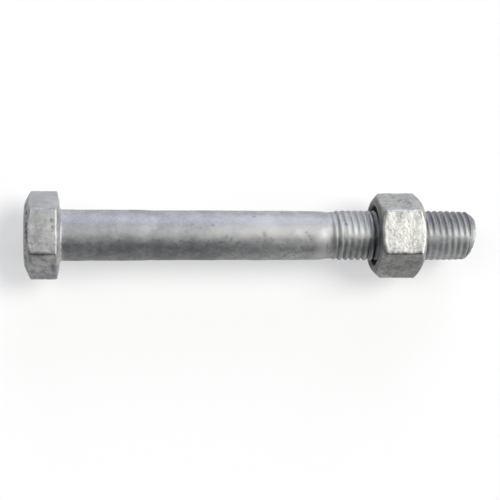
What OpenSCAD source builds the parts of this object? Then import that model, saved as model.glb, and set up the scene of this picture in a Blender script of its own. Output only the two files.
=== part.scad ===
// Hot-dip galvanised hex bolt, 20 mm thread and 165 mm under the head, with its hex nut run on.
// The axis lies along X: the face under the head is at X = 0, the thread end at X = bolt_length,
// and one flat of the head and one flat of the nut face down.

/* [Head] */
// Width across the flats of the head
head_flats = 30; // [29:0.1:31]
// Height of the head, from the face under it to its top
head_height = 13.3; // [11:0.1:14]
// Width of the flat circle left inside the chamfer on top of the head
head_top_d = 24; // [16:0.1:27]
// Slope of the chamfer on top of the head, from the top face
head_chamfer_angle = 25; // [15:0.5:30]
// Diameter of the raised round face under the head
washer_face_d = 28.4; // [26:0.1:28.8]
// Height of the raised round face under the head
washer_face_h = 0.4; // [0.2:0.1:1.2]

/* [Shank] */
// Length of the bolt from the face under the head to the end
bolt_length = 163.7; // [150:0.1:180]
// Diameter of the thicker stretch next to the head
collar_d = 19.95; // [19.8:0.05:20.3]
// Length of the thicker stretch next to the head
collar_length = 31; // [10:0.5:60]
// Length of the taper from the thicker stretch to the shank
collar_taper = 4; // [1:0.5:8]
// Diameter of the plain shank
shank_d = 19.6; // [19.4:0.05:19.8]
// Diameter of the shank where it meets the taper to the neck
shank_end_d = 19.35; // [19:0.05:19.8]
// Length in which the shank draws in towards the neck
draft_length = 10; // [2:0.5:30]
// Radius of the fillet where the shank meets the head
head_fillet_r = 1.8; // [0.8:0.1:2.4]

/* [Thread] */
// Pitch of the thread
thread_pitch = 2.5; // [2:0.25:3]
// Diameter over the crests of the thread
crest_d = 19.8; // [19.6:0.05:20]
// Diameter at the bottom of the thread groove
root_d = 16.93; // [16.5:0.01:17.5]
// Diameter of the blank the thread is rolled on, seen as the narrow neck before it
neck_d = 18.36; // [18:0.02:18.8]
// Length from the end of the bolt back to the narrow neck, run-out of the thread included
thread_length = 58.1; // [48:0.1:80]
// Length in which the groove runs out to nothing towards the neck
run_out = 6; // [2:0.5:12]
// Length of the narrow neck that is left plain
neck_length = 0.7; // [0.5:0.1:2]
// Length of the taper from the shank down to the neck
neck_taper = 3.2; // [1:0.1:5]
// Width of the flat end face of the bolt
end_d = 15.4; // [14:0.1:16.8]
// Slope of the chamfer at the end, from the axis
end_angle = 35; // [20:1:45]
// Length before the end in which the crests are not quite filled
lead_length = 11; // [4:0.5:20]
// How much lower the last crest is than a full one, on the radius
lead_drop = 0.4; // [0:0.05:0.6]
// How far past the neck the first crest line crosses the +Y side
thread_phase = 0.42; // [0:0.02:2.48]

/* [Nut] */
// Width across the flats of the nut
nut_flats = 29.7; // [29:0.1:31]
// Height of the nut
nut_height = 18.85; // [14:0.05:20.3]
// Length of bolt that stands out beyond the nut
end_showing = 21.5; // [0:0.1:34]
// Diameter of the flat ring inside the chamfers of the nut
nut_face_d = 27; // [25:0.1:28.6]
// Slope of both chamfers of the nut, from its faces
nut_chamfer_angle = 33; // [15:1:35]
// Play between the thread crests and the bore of the nut, on the radius
bore_play = 0.2; // [0.15:0.01:0.4]
// Diameter of the countersink at each face of the nut
countersink_d = 22.8; // [21.4:0.1:24]

/* [Hidden] */
zinc = [0.70, 0.71, 0.72];
round_facets = 96;
overlap = 2;
flat_to_corner = 2 / sqrt(3);
flat_down = 30;
groove_r = root_d / 2;
ridge_r = crest_d / 2;
neck_r = neck_d / 2;
neck_end = bolt_length - thread_length;
neck_start = neck_end - neck_length;
taper_start = neck_start - neck_taper;
embed = 0.5;
embed_r = neck_r - 0.03;
spiral_start = neck_end - embed;
full_thread = neck_end + run_out;
lead_start = bolt_length - lead_length;
nut_position = bolt_length - end_showing - nut_height;
turn_steps = 36;
kink_count = 4;
crest_half = thread_pitch / 16;
flank_angle = 30;
flank_width = (ridge_r - groove_r) * tan(flank_angle);
kink_offsets = [
    -crest_half,
    crest_half,
    crest_half + flank_width,
    thread_pitch - crest_half - flank_width,
];
turns_in_thread = ceil((thread_length + embed) / thread_pitch) + 2;
kinks_in_thread = turns_in_thread * kink_count;
edge_gap = 0.02;

// Share of the way that x has gone from one place to another, kept between 0 and 1
function ramp(x, from, to) = min(1, max(0, (x - from) / (to - from)));

// Largest radius that the chamfer at the end leaves
function end_limit(x) = end_d / 2 + (bolt_length - x) * tan(end_angle);

// Radius of the crest and of the groove at a place along the axis
function ridge_at(x) = embed_r + (ridge_r - embed_r) * sqrt(ramp(x, neck_end, full_thread))
    - lead_drop * ramp(x, lead_start, bolt_length);
function groove_at(x) = embed_r - (embed_r - groove_r) * ramp(x, neck_end, full_thread);
function thread_r(kind, x) = min(end_limit(x), kind < 2 ? ridge_at(x) : groove_at(x));

// Place along the axis of kink line k at step s round the bolt
function kink_x(k, s) = neck_end + thread_phase + kink_offsets[k % kink_count]
    + thread_pitch * (floor(k / kink_count) - 1 + s / turn_steps);

// A point of the thread surface at step s round the bolt
function round_point(x, r, s) = [
    x,
    r * cos(360 * s / turn_steps),
    r * sin(360 * s / turn_steps),
];

// Thread with its end chamfer and its run-out, as one closed surface
module spiral() {
    steps = [for (s = [0 : turn_steps - 1]) s];
    all_kinks = [for (k = [0 : kinks_in_thread + kink_count - 1]) k];
    low = [for (s = steps) len([for (k = all_kinks) if (kink_x(k, s) <= spiral_start + edge_gap) k])];
    high = [for (s = steps) len([for (k = all_kinks) if (kink_x(k, s) < bolt_length - edge_gap) k])];
    base = [for (s = 0, n = 0; s < turn_steps; n = n + high[s] - low[s] + 2, s = s + 1) n];
    columns = [
        for (s = steps) each [
            round_point(spiral_start, embed_r, s),
            for (k = [low[s] : high[s] - 1])
                round_point(kink_x(k, s), thread_r(k % kink_count, kink_x(k, s)), s),
            round_point(bolt_length, end_d / 2, s),
        ]
    ];
    start_middle = len(columns);
    end_middle = start_middle + 1;
    bands = [
        for (s = steps)
            let (
                t = (s + 1) % turn_steps,
                shift = t == 0 ? kink_count : 0,
                a = low[s],
                b = high[s],
                c = low[t] - shift,
                d = high[t] - shift,
                here = base[s] + 1 - a,
                next = base[t] + 1 - c,
                start_here = base[s],
                start_next = base[t],
                end_here = here + b,
                end_next = next + d
            )
            each [
                [start_middle, start_here, start_next],
                [end_middle, end_next, end_here],
                if (c < a) [start_here, next + c, start_next],
                [start_here, next + a, c < a ? next + c : start_next],
                [start_here, here + a, next + a],
                for (k = [a : d - 2]) each [
                    [here + k, next + k + 1, next + k],
                    [here + k, here + k + 1, next + k + 1],
                ],
                [here + d - 1, end_next, next + d - 1],
                if (d < b) [here + d - 1, here + d, end_next],
                [d < b ? here + d : here + d - 1, end_here, end_next],
            ]
    ];
    middles = [[spiral_start, 0, 0], [bolt_length, 0, 0]];
    polyhedron(points = concat(columns, middles), faces = bands, convexity = 10);
}

// Hexagonal bar along X with one flat facing down
module hex_bar(flats, from, to) {
    translate([from, 0, 0])
        rotate([0, 90, 0])
            rotate(flat_down)
                cylinder(h = to - from, d = flats * flat_to_corner, $fn = 6);
}

// Solid turned about X from a half profile of [radius, place along X]
module turned() {
    rotate([0, 90, 0])
        rotate_extrude($fn = round_facets)
            children();
}

// Head with the chamfer on its top
module head() {
    corner_r = head_flats * flat_to_corner / 2 + overlap;
    top_r = head_top_d / 2;
    chamfer_depth = (corner_r - top_r) * tan(head_chamfer_angle);
    intersection() {
        hex_bar(head_flats, -head_height, -washer_face_h);
        turned()
            polygon([
                [0, -head_height],
                [top_r, -head_height],
                [corner_r, chamfer_depth - head_height],
                [corner_r, 0],
                [0, 0],
            ]);
    }
}

// Raised face under the head, fillet, shank, taper and neck
module shank() {
    collar_r = collar_d / 2;
    shank_r = shank_d / 2;
    turned()
        difference() {
            polygon([
                [0, -washer_face_h - overlap],
                [washer_face_d / 2, -washer_face_h - overlap],
                [washer_face_d / 2, 0],
                [collar_r + head_fillet_r, 0],
                [collar_r + head_fillet_r, head_fillet_r],
                [collar_r, head_fillet_r],
                [collar_r, collar_length],
                [shank_r, collar_length + collar_taper],
                [shank_r, taper_start - draft_length],
                [shank_end_d / 2, taper_start],
                [neck_r, neck_start],
                [neck_r, neck_end],
                [0, neck_end],
            ]);
            translate([collar_r + head_fillet_r, head_fillet_r])
                circle(r = head_fillet_r, $fn = round_facets);
        }
}

module bolt() {
    color(zinc)
        union() {
            head();
            shank();
            spiral();
        }
}

// Half profile of the nut before its bore: a disc with both rims chamfered
module nut_profile() {
    corner_r = nut_flats * flat_to_corner / 2 + overlap;
    face_r = nut_face_d / 2;
    chamfer_depth = (corner_r - face_r) * tan(nut_chamfer_angle);
    polygon([
        [0, 0],
        [face_r, 0],
        [corner_r, chamfer_depth],
        [corner_r, nut_height - chamfer_depth],
        [face_r, nut_height],
        [0, nut_height],
    ]);
}

// What is cut out of the nut: the bore and a countersink at each face
module nut_bore() {
    bore_r = ridge_r + bore_play;
    sink_r = countersink_d / 2;
    sink_depth = sink_r - bore_r;
    polygon([
        [0, -overlap],
        [sink_r + overlap, -overlap],
        [bore_r, sink_depth],
        [bore_r, nut_height - sink_depth],
        [sink_r + overlap, nut_height + overlap],
        [0, nut_height + overlap],
    ]);
}

module nut() {
    color(zinc)
        translate([nut_position, 0, 0])
            difference() {
                intersection() {
                    hex_bar(nut_flats, 0, nut_height);
                    turned()
                        nut_profile();
                }
                turned()
                    nut_bore();
            }
}

bolt();
nut();
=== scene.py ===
"""Looks of a hot-dip galvanised hex bolt and its nut.

The bolt lies along X with the face under its head at X = 0, and the floor is below it at -Z.
Lengths are in millimetres until a finished mesh is scaled to metres.
"""

import math

import bmesh
import bpy
from mathutils import Matrix, Vector, noise


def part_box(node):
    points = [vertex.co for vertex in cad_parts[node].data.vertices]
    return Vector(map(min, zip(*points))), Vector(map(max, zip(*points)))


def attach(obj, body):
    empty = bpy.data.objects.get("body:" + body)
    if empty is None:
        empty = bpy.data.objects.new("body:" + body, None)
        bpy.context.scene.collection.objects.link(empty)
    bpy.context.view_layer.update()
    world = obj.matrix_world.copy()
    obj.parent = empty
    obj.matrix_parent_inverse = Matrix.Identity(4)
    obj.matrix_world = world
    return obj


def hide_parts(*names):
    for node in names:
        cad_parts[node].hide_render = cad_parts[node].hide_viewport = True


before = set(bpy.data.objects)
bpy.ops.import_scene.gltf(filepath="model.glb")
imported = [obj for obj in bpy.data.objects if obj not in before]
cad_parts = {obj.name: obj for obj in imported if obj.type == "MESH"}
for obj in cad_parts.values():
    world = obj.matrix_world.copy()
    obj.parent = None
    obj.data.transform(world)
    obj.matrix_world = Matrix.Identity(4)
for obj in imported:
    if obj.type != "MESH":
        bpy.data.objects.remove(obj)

MM = 0.001
SIXTH_TURN = math.tau / 6
SEGMENTS = 192  # steps round the axis, a multiple of 6 so that each hexagon corner has one
BEVEL_STEPS = 4
SAME_PLACE = 1e-5  # points and planes that are closer than this are together
SAME_SEAM = 5e-3  # the same where one turn of thread meets the next, past the spin's rounding
SAME_RING = 1e-3  # how far from its place along X a point of an open ring may lie
HAIR = 0.01  # keeps two places or radii apart where one ends and another starts

# Head
HEAD_FLATS = 30
HEAD_HEIGHT = 13.3
HEAD_TOP_R = 12
HEAD_TOP_EDGE = 0.6
HEAD_CHAMFER = math.radians(25)
HEAD_CHAMFER_EDGE = 0.9  # rounding where the chamfer meets the flats
HEAD_EDGE = 0.6  # how far the die rounds the lower edge of the flats
HEAD_EDGE_ROOM = 0.1  # how far before that rounding the flats start to follow it
UNDERSIDE = 0.75  # how far back the lower edge of the flats lies
SEAT_R = 13.8  # raised round face under the head
SEAT_HEIGHT = 0.15
SEAT_FACE_R = 13.4

# Shank
FILLET = [(0.03, 11.5, 0.25), (0.3, 10.5, 0.25)]  # how it meets the head: X, radius, rounding
FILLET_END = 0.8
COLLAR_R = 9.975
COLLAR_LENGTH = 31
COLLAR_TAPER = 4
SHANK_R = 9.8
SHANK_END_R = 9.675
DRAFT_LENGTH = 10
NECK_R = 9.18
NECK_TAPER = 3.2
NECK_LENGTH = 0.7

# Thread
BOLT_LENGTH = 163.7
THREAD_LENGTH = 58.1
PITCH = 2.5
CREST_R = 9.9
GROOVE_R = 8.465
THREAD_START = BOLT_LENGTH - THREAD_LENGTH
NECK_START = THREAD_START - NECK_LENGTH
TAPER_START = NECK_START - NECK_TAPER
RUN_OUT = 4.5
LEAD_LENGTH = 11
LEAD_DROP = 0.4
FIRST_CREST = THREAD_START + 0.42 + PITCH / 4  # where the first crest passes over the top
CREST_WIDTH = 0.07  # half the round crest, as a share of the pitch
FLANK_END = 0.45  # where the flank reaches the groove, counted in the same way
END_R = 7.7
END_SLOPE = math.tan(math.radians(35))
END_EDGE = 0.2  # rounding where the end's chamfer cuts the thread
END_LEAN = 0.15  # how far the sheared end falls back for each mm towards -Y
LEAN_FROM = 1.5
LEAN_LENGTH = 4  # how much of the end is pulled along
RAGGED_DEPTH = 0.5
RAGGED_ACROSS = 1.9
NECK_SEAM = (THREAD_START - 0.2, THREAD_START)  # where the turned shank and the thread join
END_SEAM = (BOLT_LENGTH - 0.5, BOLT_LENGTH - 0.4)  # where the thread and its end join

# Depth of the grooves that the zinc leaves open: on top and underneath, and how much more at the
# sides, first before the nut and then beyond it
ZINC_SWAP = (118, 145)  # from the one to the other along X
UP_DEPTH = 0.05
BACK_DEPTH = (0.32, 0.67)
BACK_SIDE = (-1.2, 5)  # the Y in which the grooves get so much deeper
FRONT_DEPTH = (0.8, 0.15)
FRONT_SIDE = (-1.5, -7)
END_DEPTH = 0.15  # how much more at the very end
END_GROOVES = (BOLT_LENGTH - 5, BOLT_LENGTH - 2)
DEPTH_WANDER = 0.14
DEPTH_ACROSS = 5
LEAST_DEPTH = 0.02

# Nut
NUT_FLATS = 29.7
NUT_HEIGHT = 18.85
NUT_START = BOLT_LENGTH - 21.5 - NUT_HEIGHT
NUT_END = NUT_START + NUT_HEIGHT
NUT_FACE_R = 13.5
NUT_CHAMFER = math.radians(33)
NUT_EDGE = 0.6  # how far the edges of the chamfer are rounded
NUT_WORN_EDGE = 1.6  # the same towards the head
NUT_WORN_REACH = (NUT_START + 7, NUT_START + 4)  # from the one to the other along X
NUT_WORN = [(0, 12.6, 0.3), (0, 13.8, 0.4)]  # face towards the head: X, radius, rounding
NUT_WORN_END = 2.86
NUT_MOUTH = 0.9  # how deep the countersink starts behind the lip on that side
NUT_DOME = 0.3  # how far the zinc stands up round the bore
SINK_R = 11.4
SINK_MOUTH_R = SINK_R + 0.3
SINK_TOP_R = SINK_R + 0.15  # where the countersink's slope would meet the face
SINK_EDGE = 0.2
NUT_CREST_R = 9.88
NUT_GROOVE_R = 10.5
# The gaps along X that are bridged between its outside and its thread
HEAD_SEAM = (NUT_START + NUT_MOUTH, NUT_START + NUT_MOUTH + 0.1)
FAR_SEAM = (NUT_END - 0.1, NUT_END + NUT_DOME)

# Edges of both hexagons, which wander a little as on a forged and dipped piece
CORNER_EDGE = 0.5
WANDER = 0.012  # how far an edge wanders to a side, in radians
WANDER_LENGTH = 2.8  # how long one swing is along X
WANDER_AROUND = 9  # and round the axis
WANDER_ROOM = 1.2  # how much of its reach is taken off the flats, so that no corner stands out
CORNER_WEAR = 1.6  # how much wider the most worn edges are rounded
CORNER_WEAR_FINENESS = 1.7  # how much finer than the wander that wear is
CORNER_WEAR_PLACE = Vector((9, 0, 0))

# Unevenness of the zinc: how far across and how high, how much of it on the head and the nut,
# and a place of its own in the noise
ZINC_FORMS = [
    (7, 0.1, 1, Vector((0, 0, 0))),
    (2.8, 0.045, 1.3, Vector((31, 0, 0))),
    (1.4, 0.014, 1.3, Vector((0, 17, 0))),
]
ZINC_LEVEL = 0.07  # how far below its highest places the zinc lies on average

# Pits in the zinc on the side that faces up: X, Y, how far across and how deep
PITS = [
    (-3.0, 4.2, 1.2, 0.12),
    (-2.5, 1.5, 1.2, 0.14),
    (-1.5, -5.2, 1.0, 0.06),
    (20.2, -5.1, 1.2, 0.05),
    (33.9, -5.1, 1.6, 0.06),
    (46.5, -3.2, 1.2, 0.04),
    (50.8, 3.4, 1.0, 0.03),
    (58.9, 3.0, 1.1, 0.03),
    (61.6, -3.6, 1.3, 0.05),
    (66.7, -5.1, 1.2, 0.07),
    (68.6, -3.6, 1.2, 0.05),
    (78.6, -0.5, 1.2, 0.04),
    (95.1, -0.1, 1.2, 0.05),
    (96.2, -1.3, 1.3, 0.06),
    (97.1, -2.4, 1.3, 0.06),
]
PIT_REACH = 6  # square of the half widths past which a pit has faded

# Stains and painted shade, and fresher zinc and painted highlights, on the same side: X, Y,
# length, width, turn in degrees, strength
BOLT_STAINS_AND_SHADE = [
    (-3.0, 4.2, 2.0, 1.3, 30, 0.4),
    (-2.5, 1.5, 1.5, 1.1, 0, 0.4),
    (-1.3, -2.6, 0.9, 2.2, 0, 0.4),
    (-1.4, -5.4, 1.2, 3.4, 0, 0.4),
    (-10.6, -7.6, 2.0, 1.4, 0, 0.4),
    (-1.4, -7.6, 2.4, 1.3, 0, 0.4),
    (-6.6, -8.5, 10.5, 1.6, 0, 0.55),
    (-1.1, -9.0, 0.9, 11, 0, 0.35),
    (-2.6, 8.6, 4.0, 0.8, 0, 0.35),
    # painted shade in the step between the lower edge of the flats and the seat
    (-0.4, 0.0, 0.7, 18, 0, 0.38),
    (149.5, 4.5, 22, 13, 0, 0.3),
    # painted shade in the last groove behind the rim of the end
    (161.3, 0.0, 0.7, 10, 0, 0.4),
    (-10.6, -10.6, 2.2, 3.4, 10, 0.4),
    (-2.2, -12.8, 1.6, 4.0, 0, 0.4),
    (-9.8, -14.2, 2.0, 1.4, 30, 0.4),
    (-6.2, -10.2, 4.2, 1.2, -20, 0.4),
    (22.5, -3.2, 2.2, 1.3, 20, 0.28),
    (20.2, -5.1, 2.2, 1.1, 0, 0.28),
    (33.9, -5.1, 3.4, 1.2, 10, 0.28),
    (44.3, -4.4, 1.4, 2.6, 20, 0.28),
    (46.5, -3.2, 2.2, 1.2, 0, 0.28),
    (50.8, -5.4, 2.0, 1.3, 0, 0.28),
    (50.8, 3.4, 1.6, 1.0, 0, 0.28),
    (53.8, 1.8, 1.4, 0.9, 0, 0.28),
    (58.9, 3.0, 1.6, 1.0, 0, 0.28),
    (61.6, -3.6, 2.2, 1.1, 20, 0.28),
    (63.9, -1.3, 1.7, 0.9, 40, 0.28),
    (65.8, -2.1, 1.9, 1.0, 30, 0.28),
    (66.7, -5.1, 2.3, 1.5, 10, 0.28),
    (66.9, -5.2, 1.2, 0.8, 10, 0.28),
    (68.6, -3.6, 2.6, 1.1, 40, 0.28),
    (70.9, -4.7, 2.4, 1.1, 30, 0.28),
    (75.1, 6.7, 1.5, 0.9, 0, 0.28),
    (78.6, -0.5, 1.8, 2.8, 20, 0.28),
    (86.9, 8.6, 3.4, 0.7, 0, 0.28),
    (95.1, 0.3, 1.6, 1.1, 120, 0.28),
    (96.1, -1.1, 2.6, 1.2, 130, 0.28),
    (97.1, -2.5, 2.4, 1.2, 125, 0.28),
    (103.6, -5.6, 0.7, 6.0, 0, 0.28),
    (111.1, 3.5, 1.7, 1.3, 0, 0.4),
    (110.1, 5.1, 1.4, 1.0, 0, 0.4),
]
BOLT_FRESH_ZINC_AND_HIGHLIGHTS = [
    (-3.8, 1.8, 2.2, 0.6, 40, 0.45),
    (-4.6, 5.6, 0.7, 2.6, 10, 0.45),
    (-5.6, 0.6, 2.6, 0.6, 60, 0.45),
    (-2.3, 5.8, 0.8, 2.2, 20, 0.45),
    (-5.6, -12.0, 4.2, 0.9, -30, 0.45),
    (-8.0, -13.4, 4.4, 1.4, 10, 0.45),
    (-4.2, -14.4, 3.0, 1.0, 0, 0.45),
    (5.5, -8.9, 3.0, 0.6, 0, 0.45),
    (20.6, 1.3, 1.6, 1.0, 0, 0.25),
    (33.7, -8.9, 3.8, 0.6, 0, 0.25),
    (36.6, 1.7, 1.5, 1.0, 0, 0.25),
    (41.6, 4.5, 1.8, 0.9, 0, 0.25),
    (44.6, 0.6, 1.4, 0.9, 0, 0.25),
    (74.2, 8.1, 1.3, 0.8, 0, 0.25),
    # painted highlights: the right part of the shank, its lower side there and the neck lighter
    (81.0, -0.5, 44, 16, 0, 0.42),
    (90.0, -4.2, 36, 4, 0, 0.7),
    (101.2, -4.2, 7, 11, 0, 0.9),
    # painted light: the thread before the nut lighter
    (112.0, 0.0, 16, 18, 0, 0.4),
    (151.0, -6.5, 24, 6, 0, 0.35),
    # painted highlight on the chamfer of the end
    (162.9, 0.5, 2.2, 14, 0, 0.95),
]
# partly fresher zinc, partly a painted highlight on the flat of the nut that faces up
NUT_FRESH_ZINC_AND_HIGHLIGHT = [(132.8, 0, 36, 19, 0, 0.3)]
NUT_STAINS_AND_SHADE = [
    # painted shade on the nut's lower flat, which faces down
    (132.8, -12.0, 24, 10, 0, 0.42),
    (132.5, 12.9, 2.0, 1.2, 10, 0.3),
    (135.4, 13.0, 2.2, 1.0, 60, 0.3),
    (136.4, 12.0, 1.6, 1.0, 20, 0.3),
]
MARK_EDGE = (1.3, 0.4)  # where a mark's edge starts and ends, in its half widths
MARK_HEIGHT = 1000  # so tall that only X and Y count

# Kinds of dirt and of painted shade besides the stains. Each is the product of its bands, and the
# strongest kind counts. A band reads X, Y, the radius or blotches that are so many millimetres
# across. Between its first two numbers it goes from 0 to 1, or from its third number to its
# fourth.
BOLT_DIRT_AND_SHADE = {
    "blotches along the chamfer of the head": [
        ("X", 0.4 - HEAD_HEIGHT, 0.8 - HEAD_HEIGHT),
        ("X", 1.9 - HEAD_HEIGHT, 1.3 - HEAD_HEIGHT),
        (1.8, 0.42, 0.6, 0, 0.75),
    ],
    # painted shadow of the nut on the thread just before it
    "painted shadow of the nut on the thread before it": [
        ("X", NUT_START - 3.5, NUT_START - 2.5),
        ("X", NUT_START + 3, NUT_START + 2),
        ("radius", 9.8, 9.5, 0, 0.45),
    ],
    # painted shade in the grooves of the thread
    "grooves": [
        ("X", THREAD_START + 1, THREAD_START + 3),
        ("radius", 9.65, 9.2, 0, 0.45),
    ],
    # painted shade: the -Y side of the shank darker
    "painted shade on the -Y side of the shank": [
        ("X", 0.5, 2),
        ("X", 86, 56),
        ("Y", -3.5, -8.5, 0, 0.4),
    ],
    "specks on that side": [
        ("X", 100, 97),
        ("Y", -0.5, -4, 0, 0.32),
        (1.3, 0.54, 0.68),
    ],
}
NUT_DIRT_AND_SHADE = {
    # partly the dark bare thread, partly painted shade inside the countersinks
    "dark bare thread and painted shade in the countersinks": [("radius", SINK_R + 1.1, SINK_R + 0.3, 0, 0.97)],
    # painted shade on the nut's face towards the head, which faces away from the key lamp
    "painted shade on the nut's face towards the head": [("X", NUT_START + 1.6, NUT_START + 0.6, 0, 0.58)],
}

# How strong the patches in the zinc are, and how bright it is, in bands along X or Y as above
HEAD_SIDE = (4, 1)
SHANK_SIDE = (1, 4)
HEAD_PATCHES = (11, -11, 2, 5.4)
BACK_PATCHES = (0, 9, 1.45, 2.6)
FRONT_PATCHES = (-1, -8, 1.45, 5)
HEAD_TONE = (*HEAD_SIDE, 0.28, 0.55)
# painted light: the shank's tone lighter towards +Y, the side that the lamps light
BACK_PAINTED_LIGHT = (3, 9, 0, 0.45)
NUT_PATCHES = (12, -12, 2.4, 4.5)
NUT_TONE = 0.5

# Sizes of the patterns in the zinc, across
CLOUDS = 7
MOTTLE = 2.6
GRAIN = 1.0  # the real grain is too fine to show, so it is drawn this coarse
FRAYS = 10 / 9  # of the ragged edges of stains and mottle
FRAY_REACH = 1.8  # how far they pull an edge from one side to the other
NOISE_ROUGHNESS = 0.55  # how strong the finer detail of a pattern is
MOTTLE_SPAN = (0.3, 0.7)  # between which the mottle changes the roughness
ROUGHNESS_SPAN = 0.05  # to both sides of its mean
MATT_DIRT_AND_SHADE = (0.76, 0.95)  # how much dirt and painted shade turn the metal to matt dark
GRAIN_STRENGTH = 0.5
# colour of fresher zinc, also painted as highlights
FRESH_ZINC_AND_HIGHLIGHT = "#c4c4c2"
# dark colour of dirt, also painted as shade in grooves, countersinks and on sides away from the
# lamps
DIRT_AND_SHADE_COLOUR = "#24282a"

# Studio
FLOOR_REACH = 30  # metres, so far that its edge can't be seen
FLOOR_GLOW = 0.5
PAPER = "#ababab"
ROOM = "#39414f"
# Each lamp's angle from straight down, the side that it comes from, round from +X, and how wide
# it looks from the bolt, all in degrees, its strength and its colour
LAMPS = {
    "key": (38, 18, 34, 2.95, "#fffdf7"),
    "second_key": (38, 162, 34, 0.7, "#fffdf7"),
    "fill": (74, 78, 45, 1.93, "#e8edff"),
    "side": (78, -8, 30, 2.25, "#ffffff"),
}
CAMERA_PLACE = (8.304, -44.964, 513.492)
CAMERA_TURNS = [("Y", -7.308), ("X", 4.328), ("Z", -0.578)]
CAMERA_LENS = 95.17
CAMERA_SENSOR = 36


# Shapes


def soft_min(a, b, width):
    """The smaller of two radii, with the edge where they meet rounded over that width."""
    share = max(width - abs(a - b), 0) / width
    return min(a, b) - share * share * width / 4


def ramp(x, start, end):
    """Share of the way from start to end, from 0 to 1."""
    return min(1, max(0, (x - start) / (end - start)))


def smooth_step(share):
    """Eases a share in and out."""
    share = min(1, max(0, share))
    return share * share * (3 - 2 * share)


def turned(points, steps):
    """A solid of revolution about X. Each point is (x, radius, how far back its corner is
    rounded). Each step is (where it ends along X, how long an edge may be up to there)."""
    bm = bmesh.new()
    verts = [bm.verts.new((x, 0, r)) for x, r, _ in points]
    for a, b in zip(verts, verts[1:]):
        bm.edges.new((a, b))
    for vert, (_, _, rounding) in zip(verts, points):
        if rounding:
            bmesh.ops.bevel(
                bm,
                geom=[vert],
                offset=rounding,
                segments=BEVEL_STEPS,
                profile=0.5,
                affect="VERTICES",
                material=-1,
            )
    for edge in list(bm.edges):
        middle = (edge.verts[0].co.x + edge.verts[1].co.x) / 2
        longest = next(length for end, length in steps if middle < end)
        cuts = int(edge.calc_length() / longest)
        if cuts:
            bmesh.ops.subdivide_edges(bm, edges=[edge], cuts=cuts)
    bmesh.ops.spin(
        bm,
        geom=bm.verts[:] + bm.edges[:],
        cent=(0, 0, 0),
        axis=(1, 0, 0),
        angle=math.tau,
        steps=SEGMENTS,
        use_merge=True,
    )
    bmesh.ops.remove_doubles(bm, verts=bm.verts, dist=SAME_PLACE)
    return bm


def screwed(start, end, groove_r, crest_r):
    """A rolled thread with round crests and grooves: one pitch of its profile, spun once about X
    while it moves along, repeated, and cut at two places along X."""
    points = 12
    # A turn ends a pitch further on than it starts, so spare turns reach past both cuts
    turns_before = math.ceil((start - FIRST_CREST) / PITCH) - 2
    turns = math.ceil((end - start) / PITCH) + 3
    bm = bmesh.new()
    verts = []
    for i in range(points + 1):
        place = i / points - 0.5
        drop = smooth_step((abs(place) - CREST_WIDTH) / (FLANK_END - CREST_WIDTH))
        x = FIRST_CREST + (turns_before + place) * PITCH
        verts.append(bm.verts.new((x, 0, crest_r - (crest_r - groove_r) * drop)))
    for a, b in zip(verts, verts[1:]):
        bm.edges.new((a, b))
    bmesh.ops.spin(
        bm,
        geom=bm.verts[:] + bm.edges[:],
        cent=(0, 0, 0),
        axis=(1, 0, 0),
        dvec=(PITCH / SEGMENTS, 0, 0),
        angle=math.tau,
        steps=SEGMENTS,
    )
    one_turn = bm.verts[:] + bm.edges[:] + bm.faces[:]
    for turn in range(1, turns):
        copy = bmesh.ops.duplicate(bm, geom=one_turn)["geom"]
        moved = [part for part in copy if isinstance(part, bmesh.types.BMVert)]
        bmesh.ops.translate(bm, vec=(turn * PITCH, 0, 0), verts=moved)
    bmesh.ops.remove_doubles(bm, verts=bm.verts, dist=SAME_SEAM)
    for place, side in ((start, -1), (end, 1)):
        bmesh.ops.bisect_plane(
            bm,
            geom=bm.verts[:] + bm.edges[:] + bm.faces[:],
            dist=SAME_PLACE,
            plane_co=(place, 0, 0),
            plane_no=(side, 0, 0),
            clear_outer=True,
        )
    return bm


def set_radius(bm, radius):
    """Moves each point straight out from the axis, or in, to radius(point, its radius)."""
    for v in bm.verts:
        r = math.hypot(v.co.y, v.co.z)
        if r > SAME_PLACE:
            scale = radius(v.co, r) / r
            v.co.y *= scale
            v.co.z *= scale


def hexagon_r(co, flats):
    """Distance from the axis to a hexagon's side in the direction of co, with rounded corners."""
    along = Vector((co.x / WANDER_LENGTH, co.y / WANDER_AROUND, co.z / WANDER_AROUND))
    wander = WANDER * noise.noise(along)
    turn = math.atan2(co.y, co.z) + wander
    off = (turn + SIXTH_TURN / 2) % SIXTH_TURN - SIXTH_TURN / 2
    flats -= WANDER_ROOM * flats * abs(wander * math.sin(off))
    side = flats / 2 / math.cos(off)
    next_side = flats / 2 / math.cos(SIXTH_TURN - abs(off))
    patches_and_tone = max(0, noise.noise(along * CORNER_WEAR_FINENESS + CORNER_WEAR_PLACE))
    return soft_min(side, next_side, CORNER_EDGE * (1 + CORNER_WEAR * patches_and_tone))


def unevenness(co):
    """How much less zinc than the most lies at a point: swells, lumps, specks and the pits."""
    on_hexagon = co.x < 0 or NUT_START < co.x < NUT_END
    depth = ZINC_LEVEL
    for across, height, share, place in ZINC_FORMS:
        depth -= noise.noise(co / across + place) * height * (share if on_hexagon else 1)
    if co.z > 0:
        for x, y, across, deep in PITS:
            away = ((co.x - x) ** 2 + (co.y - y) ** 2) / (across / 2) ** 2
            if away < PIT_REACH:
                depth += deep * math.exp(-away)
    return max(depth, 0)


def joined(*parts):
    """One bmesh from several."""
    whole = bmesh.new()
    for part in parts:
        mesh = bpy.data.meshes.new("part")
        part.to_mesh(mesh)
        part.free()
        whole.from_mesh(mesh)
        bpy.data.meshes.remove(mesh)
    return whole


def bridge(bm, places):
    """Closes the gap between the open rings that lie at two places along X."""
    ring = [
        e
        for e in bm.edges
        if e.is_boundary
        and any(all(abs(v.co.x - p) < SAME_RING for v in e.verts) for p in places)
    ]
    bmesh.ops.bridge_loops(bm, edges=ring)


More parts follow.
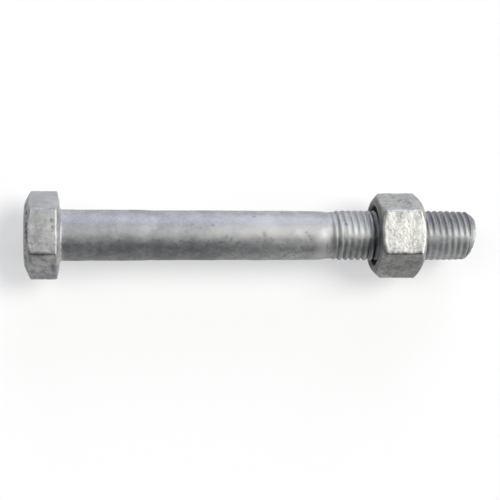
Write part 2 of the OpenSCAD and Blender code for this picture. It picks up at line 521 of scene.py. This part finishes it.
def finished(bm, name, body, material):
    """Scales a closed mesh to metres and makes it the piece that stands for its CAD node."""
    bmesh.ops.recalc_face_normals(bm, faces=bm.faces)
    bmesh.ops.scale(bm, vec=(MM, MM, MM), verts=bm.verts)
    for face in bm.faces:
        face.smooth = True
    mesh = bpy.data.meshes.new(name)
    bm.to_mesh(mesh)
    bm.free()
    piece = bpy.data.objects.new(name, mesh)
    bpy.context.scene.collection.objects.link(piece)
    mesh.materials.append(material)
    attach(piece, body)
    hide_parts(body)
    return piece


# Materials


def paint(code):
    """Linear colour of an sRGB hex value."""
    parts = [int(code[i : i + 2], 16) / 255 for i in (1, 3, 5)]
    return (*(p / 12.92 if p <= 0.04045 else ((p + 0.055) / 1.055) ** 2.4 for p in parts), 1)


def add(tree, kind, inputs=(), **settings):
    """A node with its settings and links. The inputs are in order, or named in a dict, and each
    is a value, a node whose first output feeds it, or one of a node's outputs."""
    node = tree.nodes.new("ShaderNode" + kind)
    for name, value in settings.items():
        setattr(node, name, value)
    named = inputs if isinstance(inputs, dict) else dict(enumerate(inputs))
    for name, value in named.items():
        if isinstance(value, bpy.types.Node):
            value = value.outputs[0]
        if isinstance(value, bpy.types.NodeSocket):
            tree.links.new(value, node.inputs[name])
        else:
            node.inputs[name].default_value = value
    return node


def spots(tree, place, marks):
    """How strongly a place lies in one of the marks, on the side that faces up."""
    strongest = 0
    for x, y, long, wide, turn, strength in marks:
        inputs = {
            "Vector": place,
            "Location": (x, y, 0),
            "Rotation": (0, 0, math.radians(turn)),
            "Scale": (long / 2, wide / 2, MARK_HEIGHT),
        }
        centred = add(tree, "Mapping", inputs, vector_type="TEXTURE")
        away = add(tree, "VectorMath", (centred,), operation="LENGTH").outputs["Value"]
        share = add(tree, "MapRange", (away, *MARK_EDGE, 0, strength))
        strongest = add(tree, "Math", (strongest, share), operation="MAXIMUM")
    height = add(tree, "SeparateXYZ", (place,)).outputs["Z"]
    faces_up = add(tree, "Math", (height, 0), operation="GREATER_THAN")
    return add(tree, "Math", (strongest, faces_up), operation="MULTIPLY")


def dirt_and_painted_shade(tree, place, values, kinds, stains_and_shade):
    """How much dirt and painted shade lie at a place: as much as the strongest of its kinds and
    stains.
    """
    most = spots(tree, place, stains_and_shade)
    for bands in kinds.values():
        dirt_and_shade = 1
        for what, *limits in bands:
            if what in values:
                value = values[what]
            else:
                inputs = {"Vector": place, "Scale": 1 / what, "Detail": 1}
                inputs["Roughness"] = NOISE_ROUGHNESS
                value = add(tree, "TexNoise", inputs)
            share = add(tree, "MapRange", (value, *limits))
            dirt_and_shade = add(tree, "Math", (dirt_and_shade, share), operation="MULTIPLY")
        most = add(tree, "Math", (most, dirt_and_shade), operation="MAXIMUM")
    return most


def galvanised(name, dull, bright, roughness, shares, grain_height, patches_and_tone, dirt_and_shade, stains_and_shade, fresh_zinc_and_highlights):
    """Hot-dip zinc, weathered to a dull grey: a soft metallic lustre with cloudy patches, a fine
    grain, dark stains and painted shade, matt where they are thick. The shares are those of
    clouds, mottle and grain in the tone, patches_and_tone(tree, x, y) gives their strength and the
    mean tone from dull to bright, for the bolt with painted light in it, dirt_and_shade and
    stains_and_shade say where it is dirtied or darkened as painted shade, and
    fresh_zinc_and_highlights lists the patches of fresher zinc and of painted highlights."""
    material = bpy.data.materials.new(name)
    material.use_nodes = True
    tree = material.node_tree
    tree.nodes.clear()
    metres = add(tree, "TexCoord").outputs["Object"]
    place = add(tree, "VectorMath", {0: metres, "Scale": 1 / MM}, operation="SCALE")
    x, y, _ = add(tree, "SeparateXYZ", (place,)).outputs
    across = add(tree, "VectorMath", (place, (0, 1, 1)), operation="MULTIPLY")
    radius = add(tree, "VectorMath", (across,), operation="LENGTH").outputs["Value"]
    frays = add(tree, "TexNoise", {"Vector": place, "Scale": 1 / FRAYS, "Detail": 2})
    frays = frays.outputs["Color"]
    frays = add(tree, "VectorMath", (frays, (0.5, 0.5, 0.5)), operation="SUBTRACT")
    reach = (FRAY_REACH, FRAY_REACH, FRAY_REACH)
    ragged = add(tree, "VectorMath", (frays, reach, place), operation="MULTIPLY_ADD")
    patterns = []
    for where, size in ((place, CLOUDS), (ragged, MOTTLE), (place, GRAIN)):
        inputs = {"Vector": where, "Scale": 1 / size, "Detail": 2}
        inputs["Roughness"] = NOISE_ROUGHNESS
        patterns.append(add(tree, "TexNoise", inputs))
    _, mottle, grain = patterns
    mixed = -sum(shares) / 2
    for pattern, share in zip(patterns, shares):
        mixed = add(tree, "Math", (pattern, share, mixed), operation="MULTIPLY_ADD")
    strength, tone = patches_and_tone(tree, x, y)
    tone = add(tree, "Math", (mixed, strength, tone), operation="MULTIPLY_ADD")
    tone = add(tree, "Clamp", (tone,))
    shade_and_dirt_amount = dirt_and_painted_shade(tree, ragged, {"X": x, "Y": y, "radius": radius}, dirt_and_shade, stains_and_shade)
    colour = paint(dull)
    for share, code in ((tone, bright), (spots(tree, ragged, fresh_zinc_and_highlights), FRESH_ZINC_AND_HIGHLIGHT), (shade_and_dirt_amount, DIRT_AND_SHADE_COLOUR)):
        inputs = {0: share, 6: colour, 7: paint(code)}
        colour = add(tree, "Mix", inputs, data_type="RGBA").outputs[2]
    matt_dirt_and_shade = add(tree, "MapRange", (shade_and_dirt_amount, *MATT_DIRT_AND_SHADE))
    between = (roughness - ROUGHNESS_SPAN, roughness + ROUGHNESS_SPAN)
    rough = add(tree, "MapRange", (mottle, *MOTTLE_SPAN, *between))
    fine = {"Height": grain, "Strength": GRAIN_STRENGTH, "Distance": grain_height * MM}
    finish = {
        "Base Color": colour,
        "Metallic": add(tree, "Math", (1, matt_dirt_and_shade), operation="SUBTRACT"),
        "Roughness": add(tree, "Math", (rough, matt_dirt_and_shade), operation="MAXIMUM"),
        "Normal": add(tree, "Bump", fine),
    }
    add(tree, "OutputMaterial", {"Surface": add(tree, "BsdfPrincipled", finish)})
    return material


def bolt_patches_and_painted_light(tree, x, y):
    """Patches are strong on the head, weak on the duller shank, and stronger towards its sides.
    The shank's tone is painted lighter towards +Y, the side that the lamps light.
    """
    on_head = add(tree, "MapRange", (x, *HEAD_SIDE))
    on_shank = add(tree, "MapRange", (x, *SHANK_SIDE))
    head = add(tree, "MapRange", (y, *HEAD_PATCHES))
    back = add(tree, "MapRange", (y, *BACK_PATCHES))
    front = add(tree, "MapRange", (y, *FRONT_PATCHES))
    head = add(tree, "Math", (on_head, head), operation="MULTIPLY")
    sides = add(tree, "Math", (back, front), operation="MAXIMUM")
    strength = add(tree, "Math", (sides, on_shank, head), operation="MULTIPLY_ADD")
    head_tone = add(tree, "MapRange", (x, *HEAD_TONE))
    back_painted_light = add(tree, "MapRange", (y, *BACK_PAINTED_LIGHT))
    return strength, add(tree, "Math", (head_tone, back_painted_light), operation="MAXIMUM")


def nut_wear(tree, x, y):
    """Patches are strong all over the nut, and more so towards -Y."""
    return add(tree, "MapRange", (y, *NUT_PATCHES)), NUT_TONE


def plain_floor(name, code, glow):
    """Matt pale paper under the bolt. It glows a little where it is looked at or mirrored, so that
    it stays pale and keeps a light shadow, and it throws no more light on the bolt for that."""
    material = bpy.data.materials.new(name)
    material.use_nodes = True
    tree = material.node_tree
    tree.nodes.clear()
    path = add(tree, "LightPath").outputs
    seen = (path["Is Camera Ray"], path["Is Glossy Ray"])
    seen = add(tree, "Math", seen, operation="MAXIMUM")
    seen = add(tree, "Math", (seen, path["Is Transmission Ray"]), operation="MAXIMUM")
    strength = add(tree, "Math", (seen, glow), operation="MULTIPLY")
    paper = add(tree, "BsdfDiffuse", {"Color": paint(code)})
    light = add(tree, "Emission", {"Color": paint("#ffffff"), "Strength": strength})
    add(tree, "OutputMaterial", {"Surface": add(tree, "AddShader", (paper, light))})
    return material


# Bolt


def bolt_turning():
    """Head and shank up to the neck, with the hexagon pressed out of the turned head."""
    reach = HEAD_FLATS / math.sqrt(3) + 1
    chamfer = (reach - HEAD_TOP_R) * math.tan(HEAD_CHAMFER)
    bm = turned(
        [
            (-HEAD_HEIGHT, 0, 0),
            (-HEAD_HEIGHT, HEAD_TOP_R, HEAD_TOP_EDGE),
            (chamfer - HEAD_HEIGHT, reach, 0),
            (-UNDERSIDE, reach, HEAD_EDGE),
            (-SEAT_HEIGHT, SEAT_R, 0.1),
            (0, SEAT_FACE_R, 0.15),
            *FILLET,
            (FILLET_END, COLLAR_R, 0.35),
            (COLLAR_LENGTH, COLLAR_R, 1.5),
            (COLLAR_LENGTH + COLLAR_TAPER, SHANK_R, 1.5),
            (TAPER_START - DRAFT_LENGTH, SHANK_R, 1.5),
            (TAPER_START, SHANK_END_R, 1.0),
            (NECK_START, NECK_R, 0.3),
            (NECK_SEAM[0], NECK_R, 0),
        ],
        [
            (HAIR - HEAD_HEIGHT, 1.2),
            (-10.4, 0.28),  # where the chamfer cuts the flats
            (-4.5, 0.6),
            (0, 0.3),  # at the pits and the lower edge of the flats
            (math.inf, 0.9),
        ],
    )

    def pressed(co, r):
        side = hexagon_r(co, HEAD_FLATS)
        if co.x > -UNDERSIDE - HEAD_EDGE - HEAD_EDGE_ROOM and r > SEAT_R + HAIR:
            inward = reach - r
            if inward <= HEAD_EDGE:
                return side - inward
            share = (inward - HEAD_EDGE) / (reach - HEAD_EDGE - SEAT_R)
            return (side - HEAD_EDGE) * (1 - share) + SEAT_R * share
        return soft_min(r, side, HEAD_CHAMFER_EDGE) if co.x < -UNDERSIDE else r

    set_radius(bm, pressed)
    return bm


def bolt_thread():
    """Rolled thread with its run-out at the neck, its lead at the end and so much zinc in its
    grooves that they are shallow, most of all on top and underneath."""
    bm = screwed(NECK_SEAM[1], END_SEAM[0], GROOVE_R, CREST_R)

    def rolled(co, r):
        height = (r - GROOVE_R) / (CREST_R - GROOVE_R)
        beyond = ramp(co.x, *ZINC_SWAP)
        depth = UP_DEPTH - DEPTH_WANDER * noise.noise(co / DEPTH_ACROSS)
        for (before, after), side in ((BACK_DEPTH, BACK_SIDE), (FRONT_DEPTH, FRONT_SIDE)):
            depth += (before + (after - before) * beyond) * ramp(co.y, *side)
        depth = max(depth + END_DEPTH * ramp(co.x, *END_GROOVES), LEAST_DEPTH)
        full = ramp(co.x, THREAD_START, THREAD_START + RUN_OUT)
        groove = NECK_R + (CREST_R - depth - NECK_R) * full
        crest = NECK_R + (CREST_R - NECK_R) * (1 - (1 - full) ** 2)
        drop = LEAD_DROP * ramp(co.x, BOLT_LENGTH - LEAD_LENGTH, BOLT_LENGTH)
        limit = END_R + (BOLT_LENGTH - co.x) * END_SLOPE
        return soft_min(groove + (crest - groove) * height - drop, limit, END_EDGE)

    set_radius(bm, rolled)
    return bm


def bolt_end():
    """Rounded rim and plain face at the end of the thread."""
    rim = END_SEAM[1]
    return turned(
        [
            (rim, END_R + (BOLT_LENGTH - rim) * END_SLOPE, 0),
            (BOLT_LENGTH, END_R, 0.35),
            (BOLT_LENGTH, 0, 0),
        ],
        [(math.inf, 1.2)],
    )


def make_bolt(material):
    bm = joined(bolt_turning(), bolt_thread(), bolt_end())
    bridge(bm, NECK_SEAM)
    bridge(bm, END_SEAM)
    set_radius(bm, lambda co, r: r - unevenness(co))
    for v in bm.verts:
        lean = END_LEAN * max(0, LEAN_FROM - v.co.y)
        lean += RAGGED_DEPTH * max(0, noise.noise(v.co / RAGGED_ACROSS))
        v.co.x -= lean * ramp(v.co.x, BOLT_LENGTH - LEAN_LENGTH, BOLT_LENGTH)
    return finished(bm, "bolt_body", "bolt", material)


# Nut


def nut_shell():
    """Outside of the nut from one countersink to the other."""
    reach = NUT_FLATS / math.sqrt(3) + 1
    chamfer = (reach - NUT_FACE_R) * math.tan(NUT_CHAMFER)
    bm = turned(
        [
            (HEAD_SEAM[0], SINK_MOUTH_R, 0),
            *((NUT_START + x, r, rounding) for x, r, rounding in NUT_WORN),
            (NUT_START + NUT_WORN_END, reach, 0),
            (NUT_END - chamfer, reach, 0),
            (NUT_END, NUT_FACE_R, 0.5),
            (FAR_SEAM[1], SINK_MOUTH_R, 0),
        ],
        [(NUT_START + chamfer, 0.3), (NUT_END - chamfer, 0.5), (math.inf, 0.3)],
    )

    def pressed(co, r):
        edge = NUT_EDGE + (NUT_WORN_EDGE - NUT_EDGE) * ramp(co.x, *NUT_WORN_REACH)
        return soft_min(r, hexagon_r(co, NUT_FLATS), edge)

    set_radius(bm, pressed)
    return bm


def nut_thread():
    """Thread inside the nut, in step with the bolt's, with a countersink at each face."""
    bm = screwed(HEAD_SEAM[1], FAR_SEAM[0], NUT_CREST_R, NUT_GROOVE_R)

    def sunk(co, r):
        from_face = min(co.x - HEAD_SEAM[0], NUT_END - co.x)
        return -soft_min(-r, from_face - SINK_TOP_R, SINK_EDGE)

    set_radius(bm, sunk)
    return bm


def make_nut(material):
    bm = joined(nut_shell(), nut_thread())
    bridge(bm, HEAD_SEAM)
    bridge(bm, FAR_SEAM)
    set_radius(bm, lambda co, r: r - unevenness(co) if r > SINK_R else r)
    return finished(bm, "nut_body", "nut", material)


# Studio


def make_floor():
    bm = bmesh.new()
    bmesh.ops.create_grid(bm, x_segments=1, y_segments=1, size=FLOOR_REACH)
    lowest = min(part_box("bolt")[0].z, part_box("nut")[0].z)
    bmesh.ops.translate(bm, vec=(0, 0, lowest), verts=bm.verts)
    mesh = bpy.data.meshes.new("floor")
    bm.to_mesh(mesh)
    bm.free()
    mesh.materials.append(plain_floor("white_paper", PAPER, FLOOR_GLOW))
    floor = bpy.data.objects.new("floor", mesh)
    bpy.context.scene.collection.objects.link(floor)


def make_lamp(name, polar, azimuth, width, strength, code):
    """A far soft lamp."""
    lamp = bpy.data.lights.new(name, "SUN")
    lamp.energy = strength
    lamp.angle = math.radians(width)
    lamp.color = paint(code)[:3]
    light = bpy.data.objects.new(name, lamp)
    light.rotation_euler = (0, math.radians(polar), math.radians(azimuth))
    bpy.context.scene.collection.objects.link(light)


def make_world(code):
    world = bpy.data.worlds.new("room")
    world.use_nodes = True
    tree = world.node_tree
    tree.nodes.clear()
    surface = add(tree, "Background", {"Color": paint(code), "Strength": 1})
    add(tree, "OutputWorld", {"Surface": surface})
    bpy.context.scene.world = world


def make_camera():
    """Camera above the head, turned towards the thread end, as the photograph was taken."""
    data = bpy.data.cameras.new("camera")
    data.sensor_width = CAMERA_SENSOR
    data.lens = CAMERA_LENS
    camera = bpy.data.objects.new("camera", data)
    matrix = Matrix.Translation(Vector(CAMERA_PLACE) * MM)
    for axis, degrees in CAMERA_TURNS:
        matrix = matrix @ Matrix.Rotation(math.radians(degrees), 4, axis)
    camera.matrix_world = matrix
    bpy.context.scene.collection.objects.link(camera)
    bpy.context.scene.camera = camera


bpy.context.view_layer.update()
make_bolt(
    galvanised(
        "bolt_zinc_coat",
        dull="#949597",
        bright="#b2b2b0",
        roughness=0.6,
        shares=(0.6, 0.58, 0.45),
        grain_height=0.04,
        patches_and_tone=bolt_patches_and_painted_light,
        dirt_and_shade=BOLT_DIRT_AND_SHADE,
        stains_and_shade=BOLT_STAINS_AND_SHADE,
        fresh_zinc_and_highlights=BOLT_FRESH_ZINC_AND_HIGHLIGHTS,
    )
)
make_nut(
    galvanised(
        "nut_zinc_coat",
        dull="#8a8b8b",
        bright="#b4b3ae",
        roughness=0.5,
        shares=(0.1, 0.95, 0.68),
        grain_height=0.18,
        patches_and_tone=nut_wear,
        dirt_and_shade=NUT_DIRT_AND_SHADE,
        stains_and_shade=NUT_STAINS_AND_SHADE,
        fresh_zinc_and_highlights=NUT_FRESH_ZINC_AND_HIGHLIGHT,
    )
)
make_floor()
for name, lamp in LAMPS.items():
    make_lamp(name, *lamp)
make_world(ROOM)
make_camera()

view = bpy.context.scene.view_settings
view.view_transform = "Standard"
